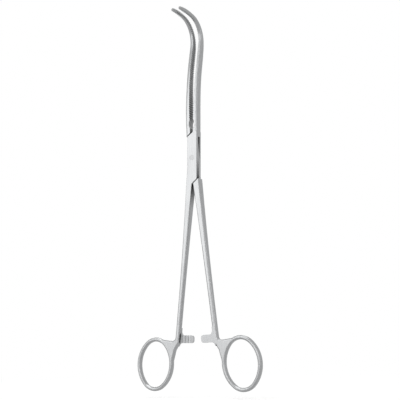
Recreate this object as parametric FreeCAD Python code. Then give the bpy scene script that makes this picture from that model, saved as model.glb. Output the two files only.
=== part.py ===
import FreeCAD, Part
import math
import os

from FreeCAD import Vector

# Ligating forceps with a box lock: two forged halves and the pin that joins them.
# Lengths are in millimetres and angles in degrees.
# Z points up to the tips, X runs across the rings and Y through the thickness.
# The tips hook towards -Y, the side taken as the front.
# The origin lies on the pin's axis, halfway through the lock.
# Each half is shaped with the jaws closed, then swung out to its place at rest.

# Opening between the two halves at rest
REST_OPENING = 2.8

# Box lock
LOCK_WIDTH = 7.2
LOCK_THICKNESS = 5.15
SHOULDER_LOW = 14.1
SHOULDER_HIGH = 16.9
LOCK_FLARE_START = -8.0
TANG_THICKNESS = 1.75
TANG_RADIUS = 13.85
PIN_RADIUS = 1.55
SIDE_GAP = 0.03
END_GAP = 0.1
SHOULDER_GAP = 0.06
PIN_GAP = 0.04
LOCK_EDGE = 0.3
CUTTER_LEAD = 0.3
TOUCH = 1e-4

# Jaws: how each one runs from the lock to the tip, seen from the side
JAW_ROOT_Z = 11.3
JAW_ROOT_LENGTH = 12.3
BELLY_RADIUS = 217.0
BELLY_ANGLE = 12.8
RETURN_RADIUS = 38.5
HOOK_RADIUS = 13.4
HOOK_ANGLE = 82.5
NOSE_RADIUS = 72.0
NOSE_ANGLE = 11.2

# Jaws: width of the gap that stays between them when the tips touch
TIP_GAP = 0.06
BOW_GAP = 1.25
BOW_END = 47.0
BOW_RUN_OUT = 20.6

# Jaws: outer face's distance from the middle, depth and squareness of the section
ROOT_REACH = 3.65
ROOT_DEPTH = 5.15
ROOT_SQUARENESS = 6.0
MIDDLE_REACH = 3.5
MIDDLE_SQUARENESS = 3.2
BELLY_REACH = 3.15
BELLY_DEPTH = 4.2
BELLY_SQUARENESS = 2.6
BEND_REACH = 2.75
BEND_DEPTH = 3.6
NOSE_REACH = 1.45
NOSE_DEPTH = 2.0
NOSE_SQUARENESS = 2.4
TIP_ROUNDING = 1.6
TIP_END_SCALE = 0.3

# Jaws: cross serrations, the groove along them and the hollow at their roots
TOOTH_PITCH = 1.5
TOOTH_WIDTH = 0.9
TOOTH_DEPTH = 0.35
TEETH_START = 15.0
TEETH_END_MARGIN = 2.2
GROOVE_WIDTH = 0.8
GROOVE_DEPTH = 0.4
GROOVE_START = 42.0
GROOVE_END_MARGIN = 5.0
RELIEF_CENTRE_X = 0.3
RELIEF_CENTRE_Z = 21.9
RELIEF_HALF_WIDTH = 1.6
RELIEF_HALF_HEIGHT = 3.1

# Shanks: inner and outer edge where they leave the lock, then the slim lower end
SHANK_START_Z = -12.6
SHANK_INNER = 0.1
SHANK_OUTER = 4.2
SHANK_END_Z = -103.9
SHANK_END_CENTRE = 10.05
SHANK_WIDTH = 3.0
SHANK_THICKNESS = 3.25
SHANK_BOW = 0.1
SHANK_ROUNDING = 1.25
ROOT_SINK = 1.0
ROOT_LIP = 0.04

# Finger rings
RING_CENTRE_X = 27.6
RING_CENTRE_Z = -128.3
RING_HOLE_WIDTH = 21.5
RING_HOLE_HEIGHT = 27.9
RING_BAR = 2.5
RING_TILT = -4.2
RING_END_ROUNDNESS = 0.8
RIM_ROUNDING = 1.2

# Web between the shank's foot and the ring
ROOT_FILLET = 2.2
WEB_TOP_INSET = 2.0
WEB_TOP_SINK = 1.0
WEB_NOTCH_X = 15.9
WEB_NOTCH_Z = -113.9
WEB_KNEE_X = 12.6
WEB_KNEE_Z = -119.8
WEB_FOOT_RISE = 1.3
WEB_FOOT_INSET = 0.2

# Ratchet
ARM_TOP_Z = -110.6
ARM_HEIGHT = 4.7
BACK_ARM_END = 0.1
FRONT_ARM_END = 1.1
ARM_END_RADIUS = 1.6
ARM_GAP = 0.16
ARM_NOSE = 2.2
FIRST_TOOTH = 3.1
RATCHET_TEETH = 3
RATCHET_PITCH = 2.3
RATCHET_DEPTH = 0.7


def facing_prism(wire, low_y, high_y):
    """Solid whose outline in the XZ plane is the wire, from low_y to high_y."""
    face = Part.Face(wire)
    face.translate(Vector(0, low_y - wire.BoundBox.YMin, 0))
    return face.extrude(Vector(0, high_y - low_y, 0))


def outline(points):
    """Closed wire of straight edges through (x, z) points."""
    corners = [Vector(x, 0, z) for x, z in points]
    return Part.makePolygon(corners + corners[:1])


def jaw_spine(distance):
    """Point and forward lean, in radians, at a distance along the jaw's middle line."""
    y = 0.0
    z = JAW_ROOT_Z
    lean = 0.0
    stretches = (
        (JAW_ROOT_LENGTH, 0.0),
        (BELLY_RADIUS * math.radians(BELLY_ANGLE), -1 / BELLY_RADIUS),
        (RETURN_RADIUS * math.radians(BELLY_ANGLE), 1 / RETURN_RADIUS),
        (HOOK_RADIUS * math.radians(HOOK_ANGLE), 1 / HOOK_RADIUS),
        (NOSE_RADIUS * math.radians(NOSE_ANGLE), 1 / NOSE_RADIUS),
    )
    left = distance
    for length, curvature in stretches:
        step = min(left, length)
        if curvature == 0.0:
            y -= step * math.sin(lean)
            z += step * math.cos(lean)
        else:
            after = lean + step * curvature
            y += (math.cos(after) - math.cos(lean)) / curvature
            z += (math.sin(after) - math.sin(lean)) / curvature
            lean = after
        left -= step
    return y, z, lean


def jaw_marks():
    """Distances along the jaw at which its curve changes."""
    belly_end = JAW_ROOT_LENGTH + BELLY_RADIUS * math.radians(BELLY_ANGLE)
    hook_start = belly_end + RETURN_RADIUS * math.radians(BELLY_ANGLE)
    hook_end = hook_start + HOOK_RADIUS * math.radians(HOOK_ANGLE)
    tip = hook_end + NOSE_RADIUS * math.radians(NOSE_ANGLE)
    return belly_end, hook_start, hook_end, tip


def blend(table, distance):
    """Value at a distance, in straight runs between the (distance, value) rows."""
    if distance <= table[0][0]:
        return table[0][1]
    for (start, first), (end, second) in zip(table, table[1:]):
        if distance <= end:
            part = (distance - start) / (end - start)
            return first + (second - first) * part
    return table[-1][1]


def jaw_gap(distance):
    """Distance from the middle to the jaw's inner face, with the tips touching."""
    part = (distance - BOW_END) / BOW_RUN_OUT
    part = min(max(part, 0.0), 1.0)
    fade = 0.5 + 0.5 * math.cos(math.pi * part)
    return (TIP_GAP + (BOW_GAP - TIP_GAP) * fade) / 2


def jaw_size(distance):
    """Outer reach, depth and squareness of the jaw's section at a distance."""
    belly_end, hook_start, hook_end, tip = jaw_marks()
    middle = (JAW_ROOT_LENGTH + belly_end) / 2
    reach = blend((
        (JAW_ROOT_LENGTH, ROOT_REACH),
        (middle, MIDDLE_REACH),
        (belly_end, BELLY_REACH),
        (hook_start, BEND_REACH),
        (tip, NOSE_REACH),
    ), distance)
    depth = blend((
        (JAW_ROOT_LENGTH, ROOT_DEPTH),
        (belly_end, BELLY_DEPTH),
        (hook_start, BEND_DEPTH),
        (tip, NOSE_DEPTH),
    ), distance)
    squareness = blend((
        (JAW_ROOT_LENGTH, ROOT_SQUARENESS),
        (middle, MIDDLE_SQUARENESS),
        (belly_end, BELLY_SQUARENESS),
        (tip, NOSE_SQUARENESS),
    ), distance)
    return reach, depth, squareness


def jaw_point(side, distance, across, forward):
    """Point at a distance along the jaw, across from the middle and forward of its line."""
    y, z, lean = jaw_spine(distance)
    return Vector(side * across, y - forward * math.cos(lean), z - forward * math.sin(lean))


def jaw_section(side, distance, scale):
    """D-shaped wire of the jaw at a distance, its flat side towards the other jaw."""
    inner = jaw_gap(distance)
    reach, depth, squareness = jaw_size(distance)
    half = depth / 2 * scale
    width = (reach - inner) * scale
    power = 2 / squareness
    points = []
    steps = 8
    for i in range(steps + 1):
        angle = math.pi * i / steps
        across = inner + width * math.sin(angle) ** power
        cosine = math.cos(angle)
        forward = math.copysign(abs(cosine) ** power, cosine) * half
        points.append(jaw_point(side, distance, across, forward))
    round_side = Part.BSplineCurve()
    round_side.interpolate(Points=points, Parameters=[i / steps for i in range(steps + 1)])
    flat_side = Part.LineSegment(points[-1], points[0])
    return Part.Wire([round_side.toShape(), flat_side.toShape()])


def jaw_blank(side):
    """The smooth jaw, before its teeth are cut."""
    belly_end, hook_start, hook_end, tip = jaw_marks()
    distances = [0.0, JAW_ROOT_LENGTH / 2, JAW_ROOT_LENGTH]
    for start, end, count in (
        (JAW_ROOT_LENGTH, belly_end, 3),
        (belly_end, hook_start, 2),
        (hook_start, hook_end, 4),
        (hook_end, tip - TIP_ROUNDING, 1),
    ):
        distances += [start + (end - start) * (i + 1) / count for i in range(count)]
    sections = [jaw_section(side, distance, 1.0) for distance in distances]
    steps = 3
    for i in range(1, steps + 1):
        turn = math.pi / 2 * i / steps
        distance = tip - TIP_ROUNDING * (1 - math.sin(turn))
        shrink = max(math.cos(turn), TIP_END_SCALE)
        sections.append(jaw_section(side, distance, shrink))
    return Part.makeLoft(sections, True, False)


def serrations(side):
    """Cutters for the fine teeth across the jaw's inner face."""
    tip = jaw_marks()[3]
    span = tip - TEETH_END_MARGIN - TEETH_START
    count = int(span / TOOTH_PITCH) + 1
    cutters = []
    for i in range(count):
        distance = TEETH_START + i * TOOTH_PITCH
        inner = jaw_gap(distance)
        half = jaw_size(distance)[1] / 2 + CUTTER_LEAD
        mouth = TOOTH_WIDTH / 2 * (1 + CUTTER_LEAD / TOOTH_DEPTH)
        corners = []
        for along, across in (
            (-mouth, -CUTTER_LEAD),
            (mouth, -CUTTER_LEAD),
            (0.0, TOOTH_DEPTH),
        ):
            y, z, lean = jaw_spine(distance)
            y -= along * math.sin(lean) + half * math.cos(lean)
            z += along * math.cos(lean) - half * math.sin(lean)
            corners.append(Vector(side * (inner + across), y, z))
        run = Vector(0, math.cos(lean), math.sin(lean)) * (2 * half)
        face = Part.Face(Part.makePolygon(corners + corners[:1]))
        cutters.append(face.extrude(run))
    return cutters


def long_groove(side):
    """Cutter for the groove that runs along the middle of the jaw's inner face."""
    tip = jaw_marks()[3]
    end = tip - GROOVE_END_MARGIN
    steps = 9
    spread = GROOVE_WIDTH / 2 * (1 + CUTTER_LEAD / GROOVE_DEPTH)
    sections = []
    for i in range(steps + 1):
        distance = GROOVE_START + (end - GROOVE_START) * i / steps
        inner = jaw_gap(distance)
        corners = [
            jaw_point(side, distance, inner - CUTTER_LEAD, spread),
            jaw_point(side, distance, inner - CUTTER_LEAD, -spread),
            jaw_point(side, distance, inner + GROOVE_DEPTH, 0.0),
        ]
        sections.append(Part.makePolygon(corners + corners[:1]))
    return Part.makeLoft(sections, True, False)


def root_relief():
    """Oval hollow that runs through both jaw roots, just above the lock."""
    centre = Vector(RELIEF_CENTRE_X, -LOCK_THICKNESS, RELIEF_CENTRE_Z)
    tall = centre + Vector(0, 0, RELIEF_HALF_HEIGHT)
    wide = centre + Vector(RELIEF_HALF_WIDTH, 0, 0)
    edge = Part.Ellipse(tall, wide, centre).toShape()
    return Part.Face(Part.Wire(edge)).extrude(Vector(0, 2 * LOCK_THICKNESS, 0))


def jaw(side):
    """A finished jaw, on the side of the middle that side gives."""
    cutters = serrations(side) + [long_groove(side), root_relief()]
    return jaw_blank(side).cut(cutters)


def shank_place(z):
    """How far down the shank a height lies, and the middle line's distance from the axis."""
    part = (z + SHOULDER_HIGH) / (SHANK_END_Z + SHOULDER_HIGH)
    start = (SHANK_INNER + SHANK_OUTER) / 2
    straight = start + (SHANK_END_CENTRE - start) * part
    return part, straight - 4 * SHANK_BOW * part * (1 - part)


def shank_section(side, z, centre, width, thickness, rounding):
    """Level wire of the shank, a rectangle with rounded corners."""
    half_x = width / 2
    half_y = thickness / 2
    turn = rounding * (1 - math.sqrt(0.5))
    edges = []
    for quarter in range(4):
        sign_x = (1, -1, -1, 1)[quarter]
        sign_y = (1, 1, -1, -1)[quarter]
        first = (sign_x * half_x, sign_y * (half_y - rounding))
        second = (sign_x * (half_x - rounding), sign_y * half_y)
        if quarter % 2:
            first, second = second, first
        middle = (sign_x * (half_x - turn), sign_y * (half_y - turn))
        edges.append((first, middle, second))
    pieces = []
    for i, (first, middle, second) in enumerate(edges):
        points = [Vector(side * centre + x, y, z) for x, y in (first, middle, second)]
        pieces.append(Part.Arc(*points).toShape())
        x, y = edges[(i + 1) % 4][0]
        following = Vector(side * centre + x, y, z)
        pieces.append(Part.LineSegment(points[2], following).toShape())
    return Part.Wire(pieces)


def lock_side(z):
    """Distance of the lock's flared side from the axis at a height, towards the shank."""
    half = LOCK_WIDTH / 2
    part = (LOCK_FLARE_START - z) / (LOCK_FLARE_START + SHOULDER_HIGH)
    return half + (SHANK_OUTER - half) * part


def shank(side):
    """The long shank, from inside the lock down to the finger ring's root."""
    root = []
    for z in (SHANK_START_Z, -SHOULDER_HIGH):
        width = lock_side(z) - SHANK_INNER
        centre = SHANK_INNER + width / 2
        root.append(shank_section(side, z, centre, width, LOCK_THICKNESS, LOCK_EDGE))
    end_width = SHANK_WIDTH + 2 * ROOT_LIP
    end_thickness = SHANK_THICKNESS + 2 * ROOT_LIP
    steps = 6
    sections = []
    for i in range(steps + 1):
        z = -SHOULDER_HIGH + (SHANK_END_Z + SHOULDER_HIGH) * i / steps
        part, centre = shank_place(z)
        swell = (1 - part) ** 2
        width = end_width + (SHANK_OUTER - SHANK_INNER - end_width) * swell
        thickness = end_thickness + (LOCK_THICKNESS - end_thickness) * swell
        rounding = SHANK_ROUNDING + (LOCK_EDGE - SHANK_ROUNDING) * swell
        sections.append(shank_section(side, z, centre, width, thickness, rounding))
    return Part.makeLoft(root, True, True).fuse(Part.makeLoft(sections, True, True))


def foot_line(z):
    """Distance of the middle line from the axis where the shank runs into the ring's root."""
    rise = SHANK_END_CENTRE - (SHANK_INNER + SHANK_OUTER) / 2 + 4 * SHANK_BOW
    slope = rise / (-SHOULDER_HIGH - SHANK_END_Z)
    return SHANK_END_CENTRE + slope * (SHANK_END_Z - z)


def oval(centre_x, centre_z, half_width, half_height, tilt):
    """Closed wire of four arcs, tall along Z, its top leaning by tilt towards +X."""
    small = half_width * RING_END_ROUNDNESS
    rise = half_height - small
    large = (half_width ** 2 + rise ** 2 - small ** 2) / (2 * (half_width - small))
    reach = large - half_width
    turn = math.atan2(rise, reach)
    seam_x = -reach + large * math.cos(turn)
    seam_z = large * math.sin(turn)
    marks = [
        (half_width, 0), (seam_x, seam_z), (0, half_height), (-seam_x, seam_z),
        (-half_width, 0), (-seam_x, -seam_z), (0, -half_height), (seam_x, -seam_z),
    ]
    lean = math.radians(tilt)
    placed = []
    for x, z in marks:
        along = x * math.cos(lean) + z * math.sin(lean)
        up = z * math.cos(lean) - x * math.sin(lean)
        placed.append(Vector(centre_x + along, 0, centre_z + up))
    edges = []
    for i in (7, 1, 3, 5):
        arc = Part.Arc(placed[i], placed[(i + 1) % 8], placed[(i + 2) % 8])
        edges.append(arc.toShape())
    return Part.Wire(edges)


def level_face(solid):
    """The flat face of an upright prism that looks towards -Y."""
    low = solid.BoundBox.YMin
    for face in solid.Faces:
        if abs(face.BoundBox.YMax - low) < TOUCH:
            return face


def handle_outline(side, arm_end):
    """Flat face of the shank's foot, the ring's outside and an arm that ends at arm_end."""
    half_width = RING_HOLE_WIDTH / 2 + RING_BAR
    half_height = RING_HOLE_HEIGHT / 2 + RING_BAR
    centre = side * RING_CENTRE_X
    foot_z = ARM_TOP_Z - ARM_HEIGHT
    foot_centre = foot_line(foot_z)
    top_z = SHANK_END_Z + ROOT_SINK
    half = SHANK_WIDTH / 2
    wires = [
        oval(centre, RING_CENTRE_Z, half_width, half_height, side * RING_TILT),
        outline([
            (side * (foot_line(top_z) - half), top_z),
            (side * (foot_line(top_z) + half), top_z),
            (side * (foot_centre + half), foot_z),
            (side * (foot_centre - half), foot_z),
        ]),
        outline([
            (side * (RING_CENTRE_X - WEB_TOP_INSET), RING_CENTRE_Z + half_height - WEB_TOP_SINK),
            (side * WEB_NOTCH_X, WEB_NOTCH_Z),
            (side * foot_centre, WEB_NOTCH_Z),
            (side * (foot_centre - half), foot_z),
            (side * WEB_KNEE_X, WEB_KNEE_Z),
            (side * (RING_CENTRE_X - half_width + WEB_FOOT_INSET), RING_CENTRE_Z + WEB_FOOT_RISE),
            (side * RING_CENTRE_X, RING_CENTRE_Z),
        ]),
    ]
    if arm_end is not None:
        wires.append(outline([
            (side * foot_centre, ARM_TOP_Z),
            (side * arm_end, ARM_TOP_Z),
            (side * arm_end, foot_z),
            (side * foot_centre, foot_z),
        ]))
    prisms = [facing_prism(wire, 0, 1) for wire in wires]
    face = level_face(prisms[0].fuse(prisms[1:]).removeSplitter())
    return face.makeOffset2D(ROOT_FILLET).makeOffset2D(-ROOT_FILLET)


def handle(side):
    """The shank's foot and the finger ring, their rims broken in two steps so that they look round."""
    half = SHANK_THICKNESS / 2
    plate = facing_prism(handle_outline(1, None).Faces[0].OuterWire, -half, half)
    hole = facing_prism(
        oval(RING_CENTRE_X, RING_CENTRE_Z, RING_HOLE_WIDTH / 2, RING_HOLE_HEIGHT / 2, RING_TILT),
        -half, half)
    plate = plate.cut(hole)
    first = RIM_ROUNDING * (1 - math.tan(math.pi / 8))
    second = RIM_ROUNDING - first - RIM_ROUNDING * math.tan(math.pi / 16)
    for size, levels in ((first, (half,)), (second, (half, half - first))):
        rims = []
        for edge in plate.Edges:
            box = edge.BoundBox
            level = box.YLength < TOUCH and min(abs(abs(box.YMin) - y) for y in levels) < TOUCH
            if level and box.ZMin < SHANK_END_Z + ROOT_SINK - TOUCH:
                rims.append(edge)
        plate = plate.makeChamfer(size, rims)
    return plate if side > 0 else plate.mirror(Vector(), Vector(1, 0, 0))


def ratchet_arm(side, face):
    """Toothed arm; face is +1 behind the middle plane and -1 in front of it."""
    foot_z = ARM_TOP_Z - ARM_HEIGHT
    foot_centre = foot_line(foot_z)
    arm_end = BACK_ARM_END if face > 0 else FRONT_ARM_END
    toothed = ARM_GAP / 2
    plain = SHANK_THICKNESS / 2
    low_y, high_y = sorted((face * toothed, face * plain))
    body = facing_prism(handle_outline(side, arm_end).Faces[0].OuterWire, low_y, high_y)
    window = facing_prism(outline([
        (side * foot_centre, ARM_TOP_Z + 2 * ROOT_FILLET),
        (side * (arm_end - CUTTER_LEAD), ARM_TOP_Z + 2 * ROOT_FILLET),
        (side * (arm_end - CUTTER_LEAD), foot_z - ROOT_FILLET),
        (side * foot_centre, foot_z - ROOT_FILLET),
    ]), low_y, high_y)
    body = body.common(window)
    corners = []
    for edge in body.Edges:
        box = edge.BoundBox
        upright = box.XLength < TOUCH and box.ZLength < TOUCH
        if upright and abs(box.XMin - side * arm_end) < TOUCH:
            corners.append(edge)
    body = body.makeFillet(ARM_END_RADIUS, corners)
    cutters = []
    starts = [FIRST_TOOTH + RATCHET_PITCH * i for i in range(RATCHET_TEETH)]
    profiles = [[(0, 0), (0, RATCHET_DEPTH), (ARM_NOSE, 0)]]
    profiles += [[(a, 0), (a, RATCHET_DEPTH), (a + RATCHET_PITCH, 0)] for a in starts]
    for profile in profiles:
        corners = []
        for along, deep in profile:
            x = side * (along + arm_end)
            corners.append(Vector(x, face * (toothed + deep), foot_z - ROOT_FILLET))
        wedge = Part.Face(Part.makePolygon(corners + corners[:1]))
        cutters.append(wedge.extrude(Vector(0, 0, ARM_HEIGHT + 3 * ROOT_FILLET)))
    return body.cut(cutters)


def upper_shoulder(x):
    """Height of the box's slanted upper shoulder, x across from the axis."""
    half = LOCK_WIDTH / 2
    rise = (SHOULDER_HIGH - SHOULDER_LOW) / (half + BOW_GAP / 2)
    return SHOULDER_LOW + rise * (x + half)


def lower_shoulder(x):
    """Height of the box's slanted lower shoulder, x across from the axis."""
    half = LOCK_WIDTH / 2
    rise = (SHOULDER_HIGH - SHOULDER_LOW) / (half + SHANK_INNER)
    return -SHOULDER_LOW + rise * (x - half)


def lock_box():
    """Outside of the box, from the shank's root to the jaw's root, edges broken."""
    half = LOCK_WIDTH / 2
    depth = LOCK_THICKNESS / 2
    block = facing_prism(outline([
        (-half, upper_shoulder(-half)),
        (BOW_GAP / 2, SHOULDER_HIGH),
        (half, SHOULDER_HIGH),
        (half, lower_shoulder(half)),
        (-SHANK_INNER, -SHOULDER_HIGH),
        (-lock_side(-SHOULDER_HIGH), -SHOULDER_HIGH),
        (-half, LOCK_FLARE_START),
    ]), -depth, depth)
    broken = []
    for edge in block.Edges:
        box = edge.BoundBox
        on_face = box.YLength < TOUCH
        at_end = box.ZLength < TOUCH and abs(abs(box.ZMin) - SHOULDER_HIGH) < TOUCH
        if on_face and not at_end:
            broken.append(edge)
    return block.makeChamfer(LOCK_EDGE, broken)


def disc(radius, half_depth):
    """Round plate about the pin's axis."""
    return Part.makeCylinder(radius, 2 * half_depth, Vector(0, -half_depth, 0), Vector(0, 1, 0))


def lock_slot():
    """Room for the tang, from one side of the box through to the other."""
    half_depth = TANG_THICKNESS / 2 + SIDE_GAP
    wide = LOCK_WIDTH + SHANK_OUTER
    upper = facing_prism(outline([
        (-wide, 0), (BOW_GAP / 2, 0),
        (BOW_GAP / 2, SHOULDER_HIGH + END_GAP), (-wide, SHOULDER_HIGH + END_GAP),
    ]), -half_depth, half_depth)
    lower = facing_prism(outline([
        (wide, 0), (-SHANK_INNER, 0),
        (-SHANK_INNER, -SHOULDER_HIGH - END_GAP), (wide, -SHOULDER_HIGH - END_GAP),
    ]), -half_depth, half_depth)
    return disc(TANG_RADIUS + END_GAP, half_depth).fuse([upper, lower])


def tang():
    """Thin middle of the through half, a round-ended plate as wide as the box."""
    half_depth = TANG_THICKNESS / 2
    half = LOCK_WIDTH / 2 - SIDE_GAP
    tall = TANG_RADIUS + END_GAP
    strip = facing_prism(outline([
        (-half, -tall), (half, -tall), (half, tall), (-half, tall),
    ]), -half_depth, half_depth)
    return disc(TANG_RADIUS, half_depth).common(strip)


def cheek_room():
    """What the box's two cheeks and their gap take away from the through half."""
    wide = LOCK_WIDTH + SHANK_OUTER
    up = upper_shoulder
    down = lower_shoulder
    top = SHOULDER_HIGH + SHOULDER_GAP
    ring = outline([
        (-wide, up(-wide) + SHOULDER_GAP), (BOW_GAP / 2, top), (wide, top),
        (wide, down(wide) - SHOULDER_GAP), (-SHANK_INNER, -top), (-wide, -top),
    ])
    inner = TANG_THICKNESS / 2
    outer = LOCK_THICKNESS
    return [facing_prism(ring, inner, outer), facing_prism(ring, -outer, -inner)]


def box_half():
    """Right jaw, box and left shank, with the arm that lies behind."""
    pieces = [jaw(1), shank(-1), handle(-1), ratchet_arm(-1, 1)]
    body = lock_box().fuse(pieces)
    return body.cut([lock_slot(), disc(PIN_RADIUS, LOCK_THICKNESS)])


def through_half():
    """Left jaw, tang and right shank, with the arm that lies in front."""
    body = jaw(-1).fuse([shank(1)]).cut(cheek_room())
    body = body.fuse([tang(), handle(1), ratchet_arm(1, -1)])
    return body.cut(disc(PIN_RADIUS + PIN_GAP, LOCK_THICKNESS))


def lock_pin():
    """Headless pin, ground flush with both faces of the box."""
    return disc(PIN_RADIUS, LOCK_THICKNESS / 2)


def at_rest(shape, side):
    """The shape swung about the pin by its share of the opening."""
    placed = shape.copy()
    placed.rotate(Vector(), Vector(0, 1, 0), side * REST_OPENING / 2)
    return placed


os.makedirs("parts", exist_ok=True)
nodes = {
    "box_half": at_rest(box_half(), 1),
    "through_half": at_rest(through_half(), -1),
    "lock_pin": at_rest(lock_pin(), 1),
}
for name, shape in nodes.items():
    solids = shape.Solids
    volume = sum(solid.Volume for solid in solids)
    print(name, len(solids), shape.isValid(), round(volume, 1), len(shape.Faces))
    solids[0].exportStep("parts/%s.step" % name)
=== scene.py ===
import math

import bpy
from mathutils import Matrix, Vector


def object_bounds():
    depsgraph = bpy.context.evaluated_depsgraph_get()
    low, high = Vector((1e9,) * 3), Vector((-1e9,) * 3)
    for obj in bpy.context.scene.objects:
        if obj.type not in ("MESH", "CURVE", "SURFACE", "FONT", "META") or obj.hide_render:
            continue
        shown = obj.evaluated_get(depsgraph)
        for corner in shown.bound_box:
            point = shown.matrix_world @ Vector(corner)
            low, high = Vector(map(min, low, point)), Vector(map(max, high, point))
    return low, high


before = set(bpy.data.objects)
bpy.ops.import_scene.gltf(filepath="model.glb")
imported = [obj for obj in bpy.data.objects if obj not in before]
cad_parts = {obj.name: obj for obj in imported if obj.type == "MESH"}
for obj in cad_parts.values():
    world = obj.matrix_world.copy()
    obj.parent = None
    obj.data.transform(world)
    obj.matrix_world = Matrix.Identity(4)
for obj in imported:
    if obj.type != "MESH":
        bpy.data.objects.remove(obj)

CAD_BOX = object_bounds()
scene = bpy.context.scene
UP = Vector((0.0, 0.0, 1.0))

# Camera fitted to the picture: half a metre off at ring height, turned up the shanks.
CAMERA_PLACE = Vector((0.26536, -0.42798, -0.11982))
YAW = math.radians(31.42)
PITCH = math.radians(10.45)
ROLL = math.radians(-1.06)
FOCAL_PIXELS = 816.57
PICTURE_PIXELS = 400
SENSOR_WIDTH = 36.0

# Steel: its tint, and the roughness round which the sheen drifts.
STEEL = (0.37, 0.375, 0.38)
HALF_ROUGHNESS = 0.30
PIN_ROUGHNESS = 0.33
PIN_TONE = 0.95
ROUGHNESS_DRIFT = (-0.05, 0.07)

# Layers of its finish: noise cells per metre along x, y and z, and (noise, grey) stops.
LINE_CELLS = (3200.0, 3200.0, 110.0)
LINE_STOPS = [(0.3, 0.86), (0.7, 1.0)]
HAIR_CELLS = (5200.0, 900.0, 160.0)
HAIR_STOPS = [(0.66, 1.0), (0.74, 0.80)]
CLOUD_CELLS = (60.0, 60.0, 45.0)
CLOUD_STOPS = [(0.3, 0.93), (0.7, 1.0)]
CLOUD_RANGE = (0.3, 0.7)
ALONG_Z = (0.0, 0.0, 0.0)
HAIR_TURN = (0.5, 0.35, 0.9)
PIN_TURN = (0.0, math.radians(70), 0.0)

# Painted shade darkening seams and recesses: how far the surface looks for a neighbour, and (openness,
# grey) stops.
SEAM_SHADE_REACH = 0.0011
SEAM_SHADE_STOPS = [(0.48, 0.08), (0.90, 1.0)]
RECESS_SHADE_REACH = 0.005
RECESS_SHADE_STOPS = [(0.34, 0.22), (0.80, 1.0)]
OPENNESS_SAMPLES = 8

# Relief in the shading: rounding of the edges and depth of the scratches.
EDGE_RADIUS = 0.00018
EDGE_SAMPLES = 6
SCRATCH_DEPTH = 0.00002
LINE_STRENGTH = 0.14
HAIR_STRENGTH = 0.10

# Floor below the rings. It turns from paper with a soft shadow to plain white away from them.
FLOOR_SIZE = 12.0
FLOOR_DROP = 0.004
PAPER_CELLS = (40.0, 40.0, 40.0)
PAPER_STOPS = [(0.0, 0.93), (1.0, 0.97)]
PAPER_ROUGHNESS = 0.9
SHADOW_RANGE = (0.1, 0.45)
WHITE_SHARE = (0.5, 1.0)

# World and lamps. A lamp is (name, azimuth, elevation, distance, (width, height), watts).
WHITE = (1.0, 1.0, 1.0, 1.0)
BACKGROUND_STRENGTH = 1.0
AMBIENT_STRENGTH = 0.75
LAMP_TARGET = Vector((0.0, 0.0, -0.02))
LAMPS = [
    ("key", -33.0, 14.0, 1.1, (0.7, 1.2), 4.6),
    ("front", 10.0, 8.0, 1.2, (0.4, 0.8), 1.7),
    ("side", 80.0, 8.0, 1.2, (0.3, 0.8), 1.1),
    ("back", 215.0, 12.0, 1.2, (0.7, 0.9), 2.6),
    ("top", -20.0, 66.0, 1.2, (0.5, 0.5), 3.6),
]

# Colour sockets of the Mix node, which has one set of sockets for each data type.
MIX_FIRST, MIX_SECOND, MIX_RESULT = 6, 7, 2


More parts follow.
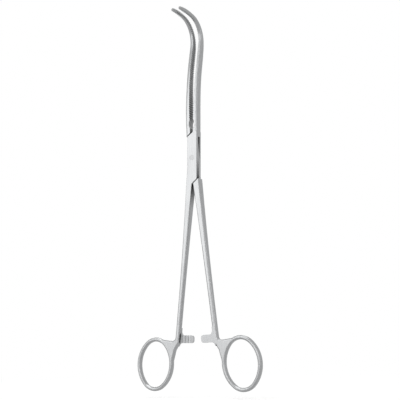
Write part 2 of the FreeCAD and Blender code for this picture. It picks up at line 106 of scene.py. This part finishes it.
class Tree:
    """A node tree with short calls to add nodes and links."""

    def __init__(self, tree):
        self.tree = tree
        tree.nodes.clear()

    def feed(self, socket, value):
        """Link another node's output to the socket, or set it to a plain value."""
        if isinstance(value, bpy.types.NodeSocket):
            self.tree.links.new(value, socket)
        else:
            socket.default_value = value

    def add(self, kind, settings=None, **inputs):
        """Node of a kind; an input's name has underscores for its spaces."""
        node = self.tree.nodes.new(kind)
        for key, value in (settings or {}).items():
            setattr(node, key, value)
        for key, value in inputs.items():
            self.feed(node.inputs[key.replace("_", " ")], value)
        return node

    def place(self):
        """Object coordinates, in metres."""
        return self.add("ShaderNodeTexCoord").outputs["Object"]

    def ramp(self, value, stops):
        """Grey that follows the value over (position, grey) stops."""
        node = self.add("ShaderNodeValToRGB", Fac=value)
        elements = node.color_ramp.elements
        while len(elements) < len(stops):
            elements.new(0.5)
        for element, (position, grey) in zip(elements, stops):
            element.position = position
            element.color = (grey, grey, grey, 1.0)
        return node.outputs["Color"]

    def noise(self, place, cells, detail, turn=ALONG_Z):
        """Noise with a number of cells per metre along each axis, turned in space."""
        mapped = self.add("ShaderNodeMapping", Vector=place, Scale=cells, Rotation=turn)
        node = self.add("ShaderNodeTexNoise", Vector=mapped.outputs["Vector"], Scale=1.0, Detail=detail)
        return node.outputs["Fac"]

    def openness(self, reach):
        """1 where nothing lies within reach of the surface, less in seams and recesses."""
        node = self.add("ShaderNodeAmbientOcclusion", {"samples": OPENNESS_SAMPLES}, Distance=reach)
        return node.outputs["AO"]

    def times(self, first, second):
        """Product of two colours."""
        node = self.add("ShaderNodeMix", {"data_type": "RGBA", "blend_type": "MULTIPLY"}, Factor=1.0)
        self.feed(node.inputs[MIX_FIRST], first)
        self.feed(node.inputs[MIX_SECOND], second)
        return node.outputs[MIX_RESULT]

    def calculate(self, operation, first, second):
        """Result of a Math node on two numbers."""
        node = self.add("ShaderNodeMath", {"operation": operation})
        self.feed(node.inputs[0], first)
        self.feed(node.inputs[1], second)
        return node.outputs["Value"]

    def remap(self, value, source, target):
        """The value, with the source range stretched to the target range."""
        node = self.add("ShaderNodeMapRange", Value=value, From_Min=source[0], From_Max=source[1],
                        To_Min=target[0], To_Max=target[1])
        return node.outputs["Result"]

    def cross(self, share, first, second):
        """Shader that passes from the first to the second as the share goes from 0 to 1."""
        node = self.add("ShaderNodeMixShader", Fac=share)
        self.feed(node.inputs[1], first)
        self.feed(node.inputs[2], second)
        return node.outputs["Shader"]

    def background_rays(self):
        """1 for rays that show the background: from the camera, in gloss and through glass."""
        rays = self.add("ShaderNodeLightPath")
        direct = self.calculate("MAXIMUM", rays.outputs["Is Camera Ray"], rays.outputs["Is Glossy Ray"])
        return self.calculate("MAXIMUM", direct, rays.outputs["Is Transmission Ray"])


def add_camera():
    """Camera at its fitted place, with the picture's angle of view."""
    level = Vector((-math.sin(YAW), math.cos(YAW), 0.0))
    right = Vector((math.cos(YAW), math.sin(YAW), 0.0))
    forward = level * math.cos(PITCH) + UP * math.sin(PITCH)
    upward = UP * math.cos(PITCH) - level * math.sin(PITCH)
    camera_x = right * math.cos(ROLL) + upward * math.sin(ROLL)
    camera_y = upward * math.cos(ROLL) - right * math.sin(ROLL)
    data = bpy.data.cameras.new("camera")
    data.sensor_width = SENSOR_WIDTH
    data.lens = SENSOR_WIDTH * FOCAL_PIXELS / PICTURE_PIXELS
    data.clip_start = 0.02
    data.clip_end = 20.0
    camera = bpy.data.objects.new("camera", data)
    scene.collection.objects.link(camera)
    scene.camera = camera
    axes = Matrix((camera_x, camera_y, -forward)).transposed()
    camera.matrix_world = Matrix.Translation(CAMERA_PLACE) @ axes.to_4x4()


def steel(name, tint, roughness, grain_turn):
    """Satin stainless steel: fine grinding lines, hairline scratches, cloudy sheen, and painted shade
    that darkens seams and recesses.
    """
    material = bpy.data.materials.new(name)
    material.use_nodes = True
    tree = Tree(material.node_tree)
    place = tree.place()
    lines = tree.noise(place, LINE_CELLS, 3.0, grain_turn)
    hairs = tree.noise(place, HAIR_CELLS, 2.0, HAIR_TURN)
    cloud = tree.noise(place, CLOUD_CELLS, 4.0)

    ground = tree.times(tree.ramp(lines, LINE_STOPS), tree.ramp(hairs, HAIR_STOPS))
    # Painted shade: the colour darkens wherever other surfaces lie close, in seams, among the teeth and
    # between the jaws.
    painted_hollow_shade = tree.times(tree.ramp(tree.openness(SEAM_SHADE_REACH), SEAM_SHADE_STOPS),
                         tree.ramp(tree.openness(RECESS_SHADE_REACH), RECESS_SHADE_STOPS))
    grey = tree.times(ground, tree.times(tree.ramp(cloud, CLOUD_STOPS), painted_hollow_shade))
    colour = tree.times((*tint, 1.0), grey)
    gloss = tree.remap(cloud, CLOUD_RANGE, [roughness + drift for drift in ROUGHNESS_DRIFT])

    rounded = tree.add("ShaderNodeBevel", {"samples": EDGE_SAMPLES}, Radius=EDGE_RADIUS)
    grain = tree.add("ShaderNodeBump", Strength=LINE_STRENGTH, Distance=SCRATCH_DEPTH, Height=lines,
                     Normal=rounded.outputs["Normal"])
    scored = tree.add("ShaderNodeBump", {"invert": True}, Strength=HAIR_STRENGTH, Distance=SCRATCH_DEPTH,
                      Height=hairs, Normal=grain.outputs["Normal"])
    shader = tree.add("ShaderNodeBsdfPrincipled", Base_Color=colour, Metallic=1.0, Roughness=gloss,
                      Normal=scored.outputs["Normal"])
    tree.add("ShaderNodeOutputMaterial", Surface=shader.outputs["BSDF"])
    return material


def white_floor():
    """Pale paper that keeps the object's shadow near the rings and shows as plain white further out."""
    material = bpy.data.materials.new("white_floor")
    material.use_nodes = True
    tree = Tree(material.node_tree)
    place = tree.place()
    tone = tree.ramp(tree.noise(place, PAPER_CELLS, 4.0), PAPER_STOPS)
    paper = tree.add("ShaderNodeBsdfPrincipled", Base_Color=tone, Roughness=PAPER_ROUGHNESS)
    glow = tree.add("ShaderNodeEmission", Color=WHITE, Strength=BACKGROUND_STRENGTH)
    distance = tree.add("ShaderNodeVectorMath", {"operation": "LENGTH"}, Vector=place).outputs["Value"]
    share = tree.calculate("MULTIPLY", tree.background_rays(),
                           tree.remap(distance, SHADOW_RANGE, WHITE_SHARE))
    surface = tree.cross(share, paper.outputs["BSDF"], glow.outputs["Emission"])
    tree.add("ShaderNodeOutputMaterial", Surface=surface)
    return material


def white_world():
    """World that shows as white and lights the object a little less."""
    world = bpy.data.worlds.new("world")
    world.use_nodes = True
    tree = Tree(world.node_tree)
    soft = tree.add("ShaderNodeBackground", Color=WHITE, Strength=AMBIENT_STRENGTH)
    white = tree.add("ShaderNodeBackground", Color=WHITE, Strength=BACKGROUND_STRENGTH)
    surface = tree.cross(tree.background_rays(), soft.outputs["Background"], white.outputs["Background"])
    tree.add("ShaderNodeOutputWorld", Surface=surface)
    return world


def add_lamp(name, azimuth, elevation, distance, size, power):
    """Soft lamp at an azimuth and elevation in degrees, facing the instrument."""
    data = bpy.data.lights.new(name, "AREA")
    data.shape = "RECTANGLE"
    data.size, data.size_y = size
    data.energy = power
    light = bpy.data.objects.new(name, data)
    scene.collection.objects.link(light)
    turn = math.radians(azimuth)
    rise = math.radians(elevation)
    flat = Vector((math.sin(turn), -math.cos(turn), 0.0))
    direction = flat * math.cos(rise) + UP * math.sin(rise)
    light.location = direction * distance + LAMP_TARGET
    light.rotation_euler = (-direction).to_track_quat("-Z", "Y").to_euler()


add_camera()

half_steel = steel("satin_steel", STEEL, HALF_ROUGHNESS, ALONG_Z)
pin_steel = steel("pin_steel", [tone * PIN_TONE for tone in STEEL], PIN_ROUGHNESS, PIN_TURN)
for name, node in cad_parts.items():
    node.data.materials.clear()
    node.data.materials.append(pin_steel if name == "lock_pin" else half_steel)

bpy.ops.mesh.primitive_plane_add(size=FLOOR_SIZE, location=(0.0, 0.0, CAD_BOX[0].z - FLOOR_DROP))
floor = bpy.context.object
floor.name = "floor"
floor.data.materials.append(white_floor())

scene.world = white_world()
for row in LAMPS:
    add_lamp(*row)

scene.view_settings.view_transform = "Standard"
